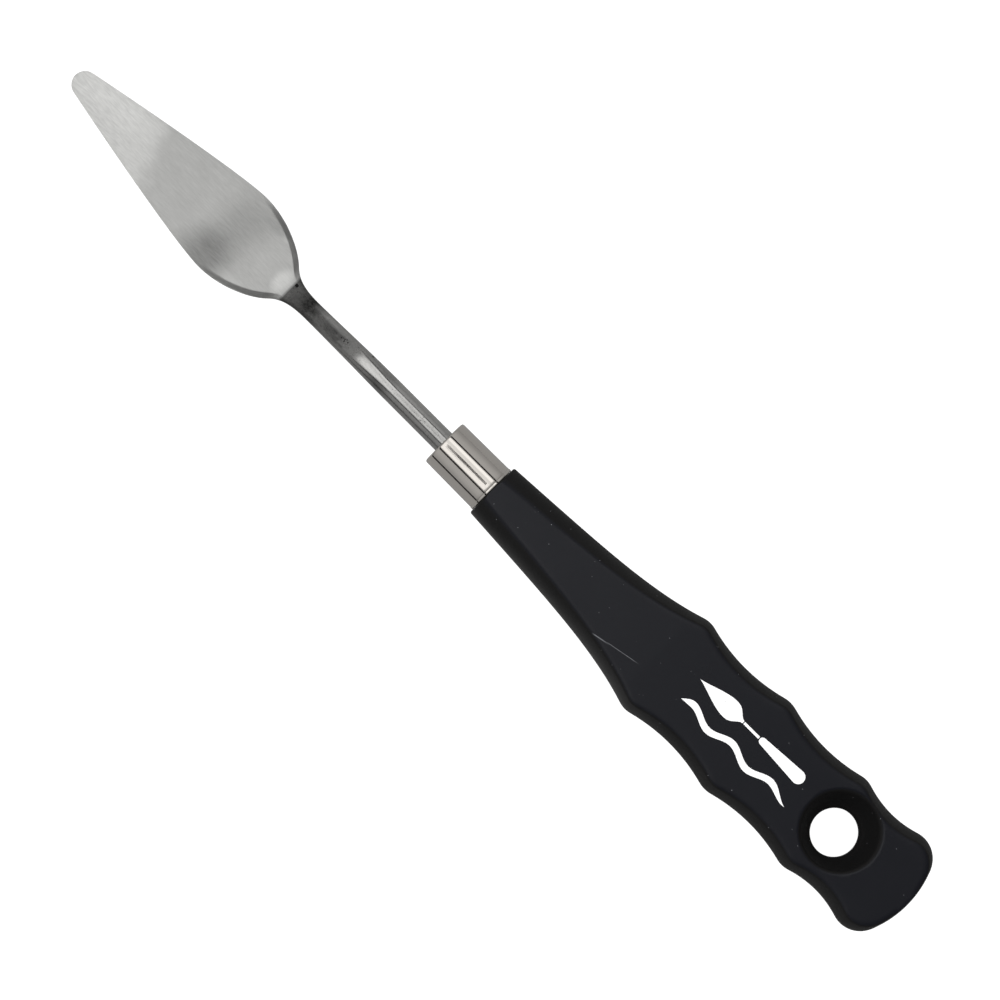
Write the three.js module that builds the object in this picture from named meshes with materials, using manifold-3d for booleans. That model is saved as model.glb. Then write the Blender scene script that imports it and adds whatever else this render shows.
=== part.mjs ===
// Painting knife with a trowel-shaped steel blade, a cranked round shank, a nickel ferrule and a
// moulded handle with scalloped sides and a dished hanging hole. Millimetres, +Z up.
// The knife lies on its blade and its handle: the tip points to -X and the butt to +X, and the
// origin is under the middle of the whole length. Lengths named s are measured from the tip.
import * as THREE from "three";
import { mergeVertices } from "three/addons/utils/BufferGeometryUtils.js";
import Module from "manifold-3d";

// Whole knife
const TOTAL_LENGTH = 215;
const AXIS_Z = 5.85; // height of the handle's and shank's centre line over the resting plane

// Blade outline: a round tip, two nearly straight sides, a full shoulder and an ogee to the neck
const TIP_RADIUS = 2.55;
const SIDE_START = { s: 2.07, half: 2.504 };
const SHOULDER = { s: 41, half: 8.92 };
const HEEL = { s: 54, half: 4.17 };
const NECK = { s: 61.5, half: 1.89 };
const SEAM_S = 56; // the ground blade ends and the forged neck begins; the flex axis crosses here
const FLEX_GAP = 0.4;

// Blade thickness: thin at the tip, growing towards the neck, with the edges ground to a bevel
const TIP_THICKNESS = 0.5;
const SEAM_THICKNESS = 2.0;
const THICKNESS_POWER = 3;
const EDGE_THICKNESS = 0.6;
const BEVEL_WIDTH = 1.2;

// Crank: the neck climbs from the blade's plane to the shank's, straight between two round bends
const CRANK_START = 52.5;
const CRANK_END = 76;
const LOWER_BEND = 6;
const UPPER_BEND = 3.5;

// Shank and tang
const ROD_RADIUS = 2.17;
const ROD_START = 83;
const NECK_HALF_HEIGHT = 1.3;
const TANG_WING_START = 124;
const TANG_WING_FULL = 130;
const TANG_END = 141;
const TANG_WING_HALF_WIDTH = 2.9;
const TANG_WING_HALF_HEIGHT = 1.35;

// Ferrule: a drawn cup with a rolled bead at its open end
const FERRULE_FRONT = 95.8;
const FERRULE_REAR = 107.9;
const FERRULE_FRONT_RADIUS = 4.82;
const FERRULE_REAR_RADIUS = 4.93;
const FERRULE_WALL = 0.5;
const FERRULE_HOLE_RADIUS = 2.4;
const BEAD_RADIUS = 5.0;
const BEAD_LENGTH = 0.7;

// Handle: a turned outline cut by two grip faces
const SPIGOT_RADIUS = 4.1;
const SPIGOT_FRONT = 96.7;
const HANDLE_FRONT = 108.2;
const FRONT_CORNER = 0.5;
const FLARE = { radius: 5.72, slope: 0.06, rise: 1.76, over: 40, power: 4.45 };
const SCALLOPS = [
  { s: 163.65, radius: 9.76, curve: 34.1 },
  { s: 184.3, radius: 9.77, curve: 32.7 },
  { s: 201.35, radius: 9.79, curve: 19.3 },
];
const RIDGE_SOFTNESS = 0.9;
const BUTT_CORNER = { s: 208.78, radius: 10.93, bend: 5, from: -0.298, to: 1.164 }; // angles in radians
const BUTT_CURVE = 20;
const FRONT_HALF_THICKNESS = 5.4;
const GRIP_FLAT_START = 150; // from here to the butt the two grip faces are parallel

// Hanging hole: a short bore with a dish on each face
const HOLE_S = 196.4;
const HOLE_RADIUS = 4.5;
const HOLE_LAND = 2.4;
const DISH_RADIUS = 7.65;
const DISH_OFFSET = 0.8; // each dish sits this far to one side of the bore

const BORE_CLEARANCE = 0.2;
const ROUND_STEPS = 40;
const ROD_STEPS = 24;

const wasm = await Module();
wasm.setup();

const clamp01 = (t) => Math.min(1, Math.max(0, t));
const ease = (t) => clamp01(t) ** 2 * (3 - 2 * clamp01(t));
const mix = (a, b, t) => a + (b - a) * t;
const part = (s, from, to) => clamp01((s - from) / (to - from));

function solid(geometry) {
  const bare = geometry.index ? geometry.toNonIndexed() : geometry.clone();
  bare.deleteAttribute("normal");
  bare.deleteAttribute("uv");
  const merged = mergeVertices(bare, 1e-4);
  return new wasm.Manifold(
    new wasm.Mesh({
      numProp: 3,
      vertProperties: merged.attributes.position.array,
      triVerts: new Uint32Array(merged.index.array),
    }),
  );
}

function geometryOf(manifold) {
  const mesh = manifold.getMesh();
  const geometry = new THREE.BufferGeometry();
  geometry.setAttribute("position", new THREE.BufferAttribute(mesh.vertProperties, 3));
  geometry.setIndex(new THREE.BufferAttribute(mesh.triVerts, 1));
  geometry.computeVertexNormals();
  return geometry;
}

// A closed skin over sections with equal point counts, with a flat fan at each end.
function loft(sections) {
  const count = sections[0].length;
  const positions = sections.flat().flatMap((p) => [p.x, p.y, p.z]);
  const index = [];
  for (let i = 0; i + 1 < sections.length; i++) {
    for (let j = 0; j < count; j++) {
      const a = i * count + j;
      const b = i * count + ((j + 1) % count);
      index.push(a, b, a + count);
      index.push(b, b + count, a + count);
    }
  }
  const last = (sections.length - 1) * count;
  for (let j = 1; j + 1 < count; j++) {
    index.push(0, j + 1, j);
    index.push(last, last + j, last + j + 1);
  }
  const geometry = new THREE.BufferGeometry();
  geometry.setAttribute("position", new THREE.Float32BufferAttribute(positions, 3));
  geometry.setIndex(index);
  return geometry;
}

// Revolves a profile of (radius, s) points about the knife's long axis.
function turned(profile) {
  return new THREE.LatheGeometry(profile, ROUND_STEPS)
    .rotateZ(-Math.PI / 2)
    .translate(0, 0, AXIS_Z);
}

// Share of the crank's climb at s.
function climb(s) {
  const length = CRANK_END - CRANK_START;
  const x = part(s, CRANK_START, CRANK_END) * length;
  const lower = Math.min(x, LOWER_BEND) ** 2 / (2 * LOWER_BEND) + Math.max(x - LOWER_BEND, 0);
  const upper = Math.max(x - length + UPPER_BEND, 0) ** 2 / (2 * UPPER_BEND);
  return (lower - upper) / (length - (LOWER_BEND + UPPER_BEND) / 2);
}

// Height of the steel's centre line over the resting plane.
function steelHeight(s) {
  return mix(bladeThickness(s) / 2, AXIS_Z, climb(s));
}

function bladeThickness(s) {
  const grown = (Math.min(s, SEAM_S) / SEAM_S) ** THICKNESS_POWER;
  return mix(TIP_THICKNESS, SEAM_THICKNESS, grown);
}

// One side of the blade and neck, as (s, half width) points from the tip backwards.
function halfOutline() {
  const path = new THREE.Path();
  const tangent = Math.acos(SIDE_START.half / TIP_RADIUS) + Math.PI / 2;
  path.absarc(TIP_RADIUS, 0, TIP_RADIUS, Math.PI - 0.12, tangent, true);
  path.bezierCurveTo(14, 4.92, 35.5, SHOULDER.half, SHOULDER.s, SHOULDER.half);
  path.bezierCurveTo(46, SHOULDER.half, 51.3, 6.68, HEEL.s, HEEL.half);
  path.bezierCurveTo(55.6, 2.6, 57.6, NECK.half, NECK.s, NECK.half);
  return path.getPoints(10);
}

function halfWidthAt(s, outline) {
  const i = Math.max(1, outline.findIndex((p) => p.x >= s));
  const [a, b] = [outline[i - 1], outline[i]];
  return mix(a.y, b.y, part(s, a.x, b.x));
}

function bladeSection(s, half) {
  const thickness = bladeThickness(s);
  const floor = steelHeight(s) - thickness / 2;
  const edge = Math.min(EDGE_THICKNESS, thickness * 0.6);
  const bevel = Math.min(BEVEL_WIDTH * (thickness - edge), half * 0.4);
  return [
    new THREE.Vector3(s, -half, floor),
    new THREE.Vector3(s, half, floor),
    new THREE.Vector3(s, half, floor + edge),
    new THREE.Vector3(s, half - bevel, floor + thickness),
    new THREE.Vector3(s, bevel - half, floor + thickness),
    new THREE.Vector3(s, -half, floor + edge),
  ];
}

function bladeGeometry() {
  const outline = halfOutline();
  const end = SEAM_S - FLEX_GAP / 2;
  const stations = outline.filter((p) => p.x < end - 0.1);
  stations.push(new THREE.Vector2(end, halfWidthAt(end, outline)));
  return loft(stations.map((p) => bladeSection(p.x, p.y)));
}

// A section between a flat bar (power 4) and a round rod (power 2).
function barSection(s, halfWidth, halfHeight, power) {
  const points = [];
  for (let j = 0; j < ROD_STEPS; j++) {
    const angle = (2 * Math.PI * j) / ROD_STEPS;
    const across = Math.cos(angle);
    const up = Math.sin(angle);
    const y = Math.sign(across) * Math.abs(across) ** (2 / power) * halfWidth;
    const z = Math.sign(up) * Math.abs(up) ** (2 / power) * halfHeight;
    points.push(new THREE.Vector3(s, y, steelHeight(s) + z));
  }
  return points;
}

function neckSection(s, outline) {
  const round = ease(part(s, NECK.s, ROD_START));
  const flat = ease(part(s, SEAM_S, NECK.s));
  const halfWidth = s < NECK.s ? halfWidthAt(s, outline) : mix(NECK.half, ROD_RADIUS, round);
  const halfHeight = mix(mix(SEAM_THICKNESS / 2, NECK_HALF_HEIGHT, flat), ROD_RADIUS, round);
  return barSection(s, halfWidth, halfHeight, mix(4, 2, round));
}

function tangSection(s, clearance) {
  const wing = ease(part(s, TANG_WING_START, TANG_WING_FULL));
  const halfWidth = mix(ROD_RADIUS, TANG_WING_HALF_WIDTH, wing) + clearance;
  const halfHeight = mix(ROD_RADIUS, TANG_WING_HALF_HEIGHT, wing) + clearance;
  return barSection(s, halfWidth, halfHeight, mix(2, 3, wing));
}

const TANG_STATIONS = [TANG_WING_START, 125.5, 127, 128.5, TANG_WING_FULL];

function shankGeometry() {
  const outline = halfOutline();
  const sections = [];
  for (let s = SEAM_S + FLEX_GAP / 2; s < ROD_START; s += 0.9) {
    sections.push(neckSection(s, outline));
  }
  sections.push(neckSection(ROD_START, outline));
  [...TANG_STATIONS, TANG_END - 1].forEach((s) => sections.push(tangSection(s, 0)));
  sections.push(tangSection(TANG_END, -0.5));
  return loft(sections);
}

function ferruleGeometry() {
  const innerFront = FERRULE_FRONT + FERRULE_WALL;
  const profile = [
    [FERRULE_HOLE_RADIUS, FERRULE_FRONT],
    [FERRULE_FRONT_RADIUS - 0.35, FERRULE_FRONT],
    [FERRULE_FRONT_RADIUS - 0.1, FERRULE_FRONT + 0.1],
    [FERRULE_FRONT_RADIUS, FERRULE_FRONT + 0.35],
    [FERRULE_REAR_RADIUS, FERRULE_REAR - BEAD_LENGTH],
    [BEAD_RADIUS, FERRULE_REAR - BEAD_LENGTH * 0.7],
    [BEAD_RADIUS, FERRULE_REAR - BEAD_LENGTH * 0.2],
    [BEAD_RADIUS - 0.15, FERRULE_REAR],
    [FERRULE_REAR_RADIUS - FERRULE_WALL, FERRULE_REAR],
    [FERRULE_FRONT_RADIUS - FERRULE_WALL, innerFront],
    [FERRULE_HOLE_RADIUS, innerFront],
    [FERRULE_HOLE_RADIUS, FERRULE_FRONT],
  ];
  return turned(profile.map(([radius, s]) => new THREE.Vector2(radius, s)));
}

// The lower of two values, with the corner between them rounded.
function softMin(a, b) {
  const near = Math.max(RIDGE_SOFTNESS - Math.abs(a - b), 0) / RIDGE_SOFTNESS;
  return Math.min(a, b) - (near * near * RIDGE_SOFTNESS) / 4;
}

// Handle radius behind its front corner: a flare, then scallops that meet in soft ridges.
function handleRadius(s) {
  const x = s - HANDLE_FRONT - FRONT_CORNER;
  const flare = FLARE.radius + FLARE.slope * x + FLARE.rise * (x / FLARE.over) ** FLARE.power;
  const bowl = ({ s: centre, radius, curve }) => radius + (s - centre) ** 2 / (2 * curve);
  return SCALLOPS.reduce((radius, scallop) => softMin(radius, bowl(scallop)), flare);
}

function handleProfile() {
  const front = HANDLE_FRONT + FRONT_CORNER;
  const points = [
    new THREE.Vector2(0, SPIGOT_FRONT),
    new THREE.Vector2(SPIGOT_RADIUS - 0.3, SPIGOT_FRONT),
    new THREE.Vector2(SPIGOT_RADIUS, SPIGOT_FRONT + 0.3),
    new THREE.Vector2(SPIGOT_RADIUS, HANDLE_FRONT),
    new THREE.Vector2(FLARE.radius - FRONT_CORNER, HANDLE_FRONT),
  ];
  for (let s = front; s < 140; s += 7) points.push(new THREE.Vector2(handleRadius(s), s));
  for (let s = 140; s < BUTT_CORNER.s - 2; s += 1.5) {
    points.push(new THREE.Vector2(handleRadius(s), s));
  }
  const corner = new THREE.Path();
  const { s: cornerS, radius, bend, from, to } = BUTT_CORNER;
  corner.absarc(radius - bend, cornerS, bend, from, to, false);
  points.push(...corner.getPoints(6));
  const centre = TOTAL_LENGTH - BUTT_CURVE;
  for (const angle of [0.3, 0.2, 0.1, 0]) {
    const away = BUTT_CURVE * Math.sin(angle);
    points.push(new THREE.Vector2(away, centre + BUTT_CURVE * Math.cos(angle)));
  }
  return points;
}

// Everything between the two grip faces: a wedge in front, then parallel.
function gripSlab() {
  const reach = BUTT_CORNER.radius + 1;
  const side = new THREE.Shape([
    new THREE.Vector2(SPIGOT_FRONT - 1, -FRONT_HALF_THICKNESS),
    new THREE.Vector2(HANDLE_FRONT, -FRONT_HALF_THICKNESS),
    new THREE.Vector2(GRIP_FLAT_START, -AXIS_Z),
    new THREE.Vector2(TOTAL_LENGTH + 1, -AXIS_Z),
    new THREE.Vector2(TOTAL_LENGTH + 1, AXIS_Z),
    new THREE.Vector2(GRIP_FLAT_START, AXIS_Z),
    new THREE.Vector2(HANDLE_FRONT, FRONT_HALF_THICKNESS),
    new THREE.Vector2(SPIGOT_FRONT - 1, FRONT_HALF_THICKNESS),
  ]);
  return new THREE.ExtrudeGeometry(side, { depth: 2 * reach, bevelEnabled: false })
    .rotateX(Math.PI / 2)
    .translate(0, reach, AXIS_Z);
}

function tangBore() {
  const stations = [SPIGOT_FRONT - 1, ...TANG_STATIONS, TANG_END + BORE_CLEARANCE];
  return loft(stations.map((s) => tangSection(s, BORE_CLEARANCE)));
}

function holeBore() {
  return new THREE.CylinderGeometry(HOLE_RADIUS, HOLE_RADIUS, 4 * AXIS_Z, ROUND_STEPS)
    .rotateX(Math.PI / 2)
    .translate(HOLE_S, 0, AXIS_Z);
}

// A dish that narrows from the grip face to the bore; side is 1 on the top face, -1 below.
function dish(side) {
  const deep = HOLE_LAND / 2;
  const slope = (DISH_RADIUS - HOLE_RADIUS) / (AXIS_Z - deep);
  const over = 1;
  const profile = [
    new THREE.Vector2(0, deep),
    new THREE.Vector2(HOLE_RADIUS - DISH_OFFSET, deep),
    new THREE.Vector2(DISH_RADIUS, AXIS_Z),
    new THREE.Vector2(DISH_RADIUS + slope * over, AXIS_Z + over),
    new THREE.Vector2(0, AXIS_Z + over),
  ];
  return new THREE.LatheGeometry(profile, ROUND_STEPS)
    .rotateX((side * Math.PI) / 2)
    .translate(HOLE_S, side * DISH_OFFSET, AXIS_Z);
}

function handleGeometry() {
  let handle = solid(turned(handleProfile()));
  handle = handle.intersect(solid(gripSlab()));
  const cuts = [tangBore(), holeBore(), dish(1), dish(-1)];
  for (const cut of cuts) handle = handle.subtract(solid(cut));
  return geometryOf(handle);
}

function piece(name, geometry, color, roughness, metalness) {
  const material = new THREE.MeshStandardMaterial({ color, roughness, metalness });
  const mesh = new THREE.Mesh(geometry, material);
  mesh.name = name;
  return mesh;
}

const knife = new THREE.Group();
knife.add(piece("blade", bladeGeometry(), 0xb4b4b2, 0.35, 1));
knife.add(piece("shank", shankGeometry(), 0x8c8c8a, 0.28, 1));
knife.add(piece("ferrule", ferruleGeometry(), 0xc8c2ba, 0.15, 1));
knife.add(piece("handle", handleGeometry(), 0x1f2023, 0.5, 0));
knife.position.x = -TOTAL_LENGTH / 2;

export default knife;
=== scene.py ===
"""Looks of the painting knife: ground steel blade, forged and drawn shank, nickel ferrule and
scalloped black plastic handle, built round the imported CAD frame.

Shapes are worked out in millimetres: s runs along the knife from the blade's tip, y across it
and z up from the plane that it lies on. spot() takes them into the frame, in metres."""

import math

import bmesh
import bpy
import numpy as np
from mathutils import Matrix, Vector


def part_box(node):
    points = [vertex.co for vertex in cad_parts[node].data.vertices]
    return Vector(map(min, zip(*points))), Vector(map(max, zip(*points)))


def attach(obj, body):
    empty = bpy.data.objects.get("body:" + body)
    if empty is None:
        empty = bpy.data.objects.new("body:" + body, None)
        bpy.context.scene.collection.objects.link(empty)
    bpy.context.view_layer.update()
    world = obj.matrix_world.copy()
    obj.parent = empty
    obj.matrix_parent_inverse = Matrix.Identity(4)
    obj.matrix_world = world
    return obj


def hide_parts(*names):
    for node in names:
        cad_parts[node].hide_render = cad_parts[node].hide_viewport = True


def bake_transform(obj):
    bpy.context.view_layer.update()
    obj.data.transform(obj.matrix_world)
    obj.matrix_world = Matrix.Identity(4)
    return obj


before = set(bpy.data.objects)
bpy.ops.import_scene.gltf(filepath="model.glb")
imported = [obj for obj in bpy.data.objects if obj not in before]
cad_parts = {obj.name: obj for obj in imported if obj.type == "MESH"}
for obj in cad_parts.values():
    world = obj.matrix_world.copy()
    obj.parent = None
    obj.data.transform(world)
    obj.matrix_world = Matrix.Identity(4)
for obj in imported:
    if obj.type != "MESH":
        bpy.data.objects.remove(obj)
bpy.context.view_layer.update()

MM = 0.001
MERGE_DISTANCE, DEGENERATE_LENGTH = 2e-7, 1e-7  # metres
LEVEL = 1e-9  # sines smaller than this are 0
TINY = 1e-6  # millimetres: keeps a division away from 0
STATION_SLACK = 0.01
RING_STEPS = 144
SMOOTH_ANGLE, STEEL_SMOOTH_ANGLE, TURNED_SMOOTH_ANGLE = 35, 50, 40  # degrees: sharper edges stay
TIP_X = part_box("blade")[0].x
HANDLE_LOW, HANDLE_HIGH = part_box("handle")
AXIS_Z = (HANDLE_LOW.z + HANDLE_HIGH.z) / 2 / MM
TOTAL_LENGTH = (HANDLE_HIGH.x - TIP_X) / MM

# Blade and neck outline
TIP_RADIUS = 2.55
SIDE_START = (2.07, 2.504)
SHOULDER = (41.0, 8.92)
HEEL = (54.0, 4.17)
NECK = (61.5, 1.89)
SIDE_CURVE = (SIDE_START, (14.0, 4.92), (35.5, 8.92), SHOULDER)
HEEL_CURVE = (SHOULDER, (46.0, 8.92), (51.3, 6.68), HEEL)
NECK_CURVE = (HEEL, (55.6, 2.6), (57.6, 1.89), NECK)
SEAM_S = 56.0
OUTLINE_PAST_SEAM = 3.0  # how far past the seam the outline still counts as the blade's edge
TIP_CLOSED, TIP_CURVE_STEPS = 0.02, 24  # radians of the tip's arc that its end face takes
SIDE_CURVE_STEPS, HEEL_CURVE_STEPS, NECK_CURVE_STEPS = 120, 60, 40

# Blade thickness and edges
TIP_THICKNESS = 0.5
SEAM_THICKNESS = 2.0
THICKNESS_POWER = 3
EDGE_DROP = 0.12  # from the face to the edge, ahead of the heel
HEEL_EDGE_THICKNESS = 0.7
BEVEL_START, BEVEL_FULL = 38.0, 47.0
TIP_BEVEL, HEEL_BEVEL = 0.9, 0.95
BEVEL_HOLLOW = 1.35  # over 1, the bevel steepens away from the edge
BEVEL_SHARE, BEVEL_SOFTNESS = 0.45, 0.12
LIP_ROUNDING, LIP_SHARE = 0.05, 0.8  # of the upper edge
UNDER_EDGE = 0.12  # rounding of the lower edge
BLADE_STEP, AFTER_TIP_STEP = 0.45, 0.4  # between rings, and from the tip's rings to the next
FIRST_RING_TURN, TIP_RINGS = 0.04, 22  # the rings of the tip follow its arc, from this angle

# Crank, shank and tang
CRANK_START, CRANK_END = 52.5, 76.0
LOWER_BEND, UPPER_BEND = 6.0, 3.5  # lengths over which the climb starts and ends
ROD_RADIUS = 2.17
ROD_START = 83.0
NECK_HALF_HEIGHT = 1.3
TANG_WING_START, TANG_WING_FULL, TANG_END = 124.0, 130.0, 141.0
TANG_WING_HALF_WIDTH, TANG_WING_HALF_HEIGHT = 2.9, 1.35
BORE_CLEARANCE, BORE_STEPS = 0.2, 48
TANG_END_RINGS = ((-0.6, 0.0), (-0.2, -0.15), (0.0, -0.5))  # how each lies behind the end and grows
SHEET_END, BAR_START = SEAM_S - 4.5, SEAM_S + 0.8
BAR_POWER, ROD_POWER, WING_POWER = 4.0, 2.0, 3.0  # 2 is round, more is squarer
NECK_STEP, ROD_STEP, WING_STEP = 0.4, 3.0, 0.75  # between rings
FLEX_FROM, FLEX_TO = 44.0, 66.0  # the stretch of steel that bends in the real knife; flexes() works out its ends but bends nothing

# Ferrule
FERRULE_FRONT, FERRULE_REAR = 95.8, 108.17
FERRULE_FRONT_RADIUS, FERRULE_REAR_RADIUS = 4.82, 4.93
FERRULE_WALL = 0.5
FERRULE_HOLE_RADIUS = 2.3
FERRULE_ROUNDING = 0.4
FERRULE_FLAT, FERRULE_CHAMFER = 0.4, 0.12  # of its front face and its hole
FERRULE_BODY_START = 0.5  # behind the rounding
BEAD_RADIUS, BEAD_LENGTH = 5.0, 0.6
BEAD_GAP, BEAD_SINK, BEAD_FULLNESS = 0.12, 0.02, 0.8
FERRULE_STEPS, FERRULE_ROUNDING_STEPS, FERRULE_BODY_STEPS, BEAD_STEPS = 192, 10, 14, 13

# Handle
SPIGOT_FRONT, SPIGOT_RADIUS, SPIGOT_CHAMFER = 96.7, 4.1, 0.3
HANDLE_FRONT = 108.2
FRONT_CORNER, FRONT_FLAT = 0.4, 0.3
FLARE_RADIUS, FLARE_SLOPE, FLARE_RISE, FLARE_OVER, FLARE_POWER = 5.72, 0.06, 1.76, 40.0, 4.45
SCALLOPS = ((163.65, 9.76, 34.1), (184.3, 9.77, 32.7), (201.35, 9.79, 19.3))
RIDGE_SOFTNESS = 0.9
BUTT_CORNER_S, BUTT_CORNER_RADIUS, BUTT_BEND = 208.78, 10.93, 5.0
BUTT_BEND_FROM, BUTT_BEND_TO = 107.1, 23.3  # degrees, from the knife's axis
BUTT_CURVE, BEND_TO_DOME = 20.0, 0.7  # and degrees between bend and dome
BUTT_HUB = 11.5  # ahead of the butt: what its rings are drawn in towards
BODY_STEP, BODY_END = 0.55, BUTT_CORNER_S - 1.6
CORNER_TO_BODY = 0.05
CORNER_STEPS, BUTT_BEND_STEPS, BUTT_CURVE_STEPS = 8, 22, 36
FRONT_HALF_THICKNESS = 5.4
GRIP_FLAT_START = 150.0
GRIP_EDGE_SOFTNESS = 0.075  # at most this, and less where the face cuts only a little off
SOFTNESS_SHARE, LEAST_CUT = 0.8, 0.003
SIDE_STEPS, FACE_STEPS, CREASE_PACKING = 18, 16, 1.8
SHADING_WEIGHT = 90  # how far large faces win over small ones
NO_FACE = 99.0  # half thickness where no grip face cuts the handle

# Hanging hole
HOLE_S = 196.4
HOLE_RADIUS, HOLE_STEPS = 4.5, 144
HOLE_LAND = 2.4
DISH_RADIUS = 7.65
DISH_OFFSET = 0.8
DISH_START = 0.2  # how far the dish starts outside the land
LAND_ROUNDING = 0.5
LAND_CORNER, LAND_CORNER_OUT, LAND_RISE = 0.2, 0.05, 0.1
DISH_BOW, RIM_BOW = 0.8, 1.9
RIM_WIDTH, RIM_DROP = 0.9, 0.5  # of the rounding between dish and grip face
RIM_PROUD, CUTTER_OVER = 0.01, 0.8  # how far the cutter's rim and end are over the grip face
DISH_FIRST, DISH_STEPS, RIM_FIRST, RIM_STEPS = 0.08, 12, 0.12, 8


# ---------------------------------------------------------------- shape helpers


def ease(value, low, high):
    """0 below low, 1 above high, and a smooth step between."""
    t = np.clip((np.asarray(value, float) - low) / (high - low), 0, 1)
    return t * t * (3 - 2 * t)


def mix(a, b, t):
    return a + (b - a) * t


def bezier(p0, p1, p2, p3, steps):
    t = np.linspace(0, 1, steps)[:, None]
    points = [np.array(p, float) for p in (p0, p1, p2, p3)]
    weights = ((1 - t) ** 3, 3 * t * (1 - t) ** 2, 3 * t**2 * (1 - t), t**3)
    return sum(w * p for w, p in zip(weights, points))


def soft_min(a, b, softness):
    near = np.maximum(softness - np.abs(a - b), 0) / softness
    return np.minimum(a, b) - near**2 * softness / 4


def spot(points):
    """Millimetres (s, y, z) to frame coordinates."""
    points = np.asarray(points, float) * MM
    points[..., 0] += TIP_X
    return points


def mesh_object(name, points, faces, smooth_angle=SMOOTH_ANGLE):
    """One object from points in millimetres, with doubles merged and faces turned outwards."""
    data = bpy.data.meshes.new(name)
    data.from_pydata([tuple(p) for p in spot(points)], [], faces)
    made = bpy.data.objects.new(name, data)
    bpy.context.scene.collection.objects.link(made)
    tidy_mesh(made, smooth_angle)
    return made


def tidy_mesh(made, smooth_angle):
    bm = bmesh.new()
    bm.from_mesh(made.data)
    bmesh.ops.remove_doubles(bm, verts=bm.verts, dist=MERGE_DISTANCE)
    bmesh.ops.dissolve_degenerate(bm, edges=bm.edges, dist=DEGENERATE_LENGTH)
    bmesh.ops.recalc_face_normals(bm, faces=bm.faces)
    bm.to_mesh(made.data)
    bm.free()
    for polygon in made.data.polygons:
        polygon.use_smooth = True
    made.data.set_sharp_from_angle(angle=math.radians(smooth_angle))


def ring_faces(rings, count, closed_ends=True):
    """Quads between successive rings of count points, and a face over each end."""
    faces = []
    for i in range(rings - 1):
        for j in range(count):
            a = i * count + j
            b = i * count + (j + 1) % count
            faces.append((a, b, b + count, a + count))
    if closed_ends:
        last = (rings - 1) * count
        faces.append(tuple(range(count - 1, -1, -1)))
        faces.append(tuple(range(last, last + count)))
    return faces


def loft(name, rings, smooth_angle=SMOOTH_ANGLE):
    points = np.concatenate(rings)
    return mesh_object(name, points, ring_faces(len(rings), len(rings[0])), smooth_angle)


def turned(name, profile, steps, smooth_angle):
    """A closed (s, radius) profile turned about the knife's axis."""
    angles = np.linspace(0, 2 * math.pi, steps, endpoint=False)
    rings = []
    for s, radius in profile:
        ring = np.stack(
            [np.full(steps, s), radius * np.cos(angles), AXIS_Z + radius * np.sin(angles)], 1
        )
        rings.append(ring)
    faces = ring_faces(len(rings), steps, closed_ends=False)
    return mesh_object(name, np.concatenate(rings), faces, smooth_angle)


def arc(centre, radius, start_deg, end_deg, steps):
    angles = np.radians(np.linspace(start_deg, end_deg, steps))
    return [(centre[0] + radius * math.cos(a), centre[1] + radius * math.sin(a)) for a in angles]


def cut(target, cutter):
    """Takes cutter away from target and removes it."""
    modifier = target.modifiers.new("cut", "BOOLEAN")
    modifier.operation = "DIFFERENCE"
    modifier.solver = "EXACT"
    modifier.object = cutter
    graph = bpy.context.evaluated_depsgraph_get()
    result = bpy.data.meshes.new_from_object(target.evaluated_get(graph))
    target.modifiers.clear()
    target.data = result
    bpy.data.objects.remove(cutter)


# ---------------------------------------------------------------- steel shape


def blade_outline():
    """Half outline of blade and neck, as (s, half width)."""
    turn = math.acos((TIP_RADIUS - SIDE_START[0]) / TIP_RADIUS)
    tip = [
        (TIP_RADIUS - TIP_RADIUS * math.cos(a), TIP_RADIUS * math.sin(a))
        for a in np.linspace(TIP_CLOSED, turn, TIP_CURVE_STEPS)
    ]
    side = bezier(*SIDE_CURVE, SIDE_CURVE_STEPS)
    heel = bezier(*HEEL_CURVE, HEEL_CURVE_STEPS)
    neck = bezier(*NECK_CURVE, NECK_CURVE_STEPS)
    return np.concatenate([np.array(tip), side[1:], heel[1:], neck[1:]])


OUTLINE = blade_outline()


def half_width(s):
    flared = np.interp(s, OUTLINE[:, 0], OUTLINE[:, 1])
    return np.where(s < NECK[0], flared, mix(NECK[1], ROD_RADIUS, ease(s, NECK[0], ROD_START)))


def blade_thickness(s):
    return mix(TIP_THICKNESS, SEAM_THICKNESS, (np.minimum(s, SEAM_S) / SEAM_S) ** THICKNESS_POWER)


def climb(s):
    """Share of the crank's climb at s: a straight slope between two round bends."""
    length = CRANK_END - CRANK_START
    x = np.clip(np.asarray(s, float) - CRANK_START, 0, length)
    lower = np.minimum(x, LOWER_BEND) ** 2 / (2 * LOWER_BEND) + np.maximum(x - LOWER_BEND, 0)
    upper = np.maximum(x - (length - UPPER_BEND), 0) ** 2 / (2 * UPPER_BEND)
    return (lower - upper) / (length - (LOWER_BEND + UPPER_BEND) / 2)


def steel_height(s):
    """Height of the steel's centre line."""
    return mix(blade_thickness(s) / 2, AXIS_Z, climb(s))


def edge_distance(points):
    """Distance of (s, y) points from the blade's outline."""
    upper = OUTLINE[OUTLINE[:, 0] < SEAM_S + OUTLINE_PAST_SEAM]
    folded = np.stack([points[:, 0], np.abs(points[:, 1])], 1)
    return np.min(np.hypot(*(folded[:, None, :] - upper[None]).transpose(2, 0, 1)), axis=1)


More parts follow.
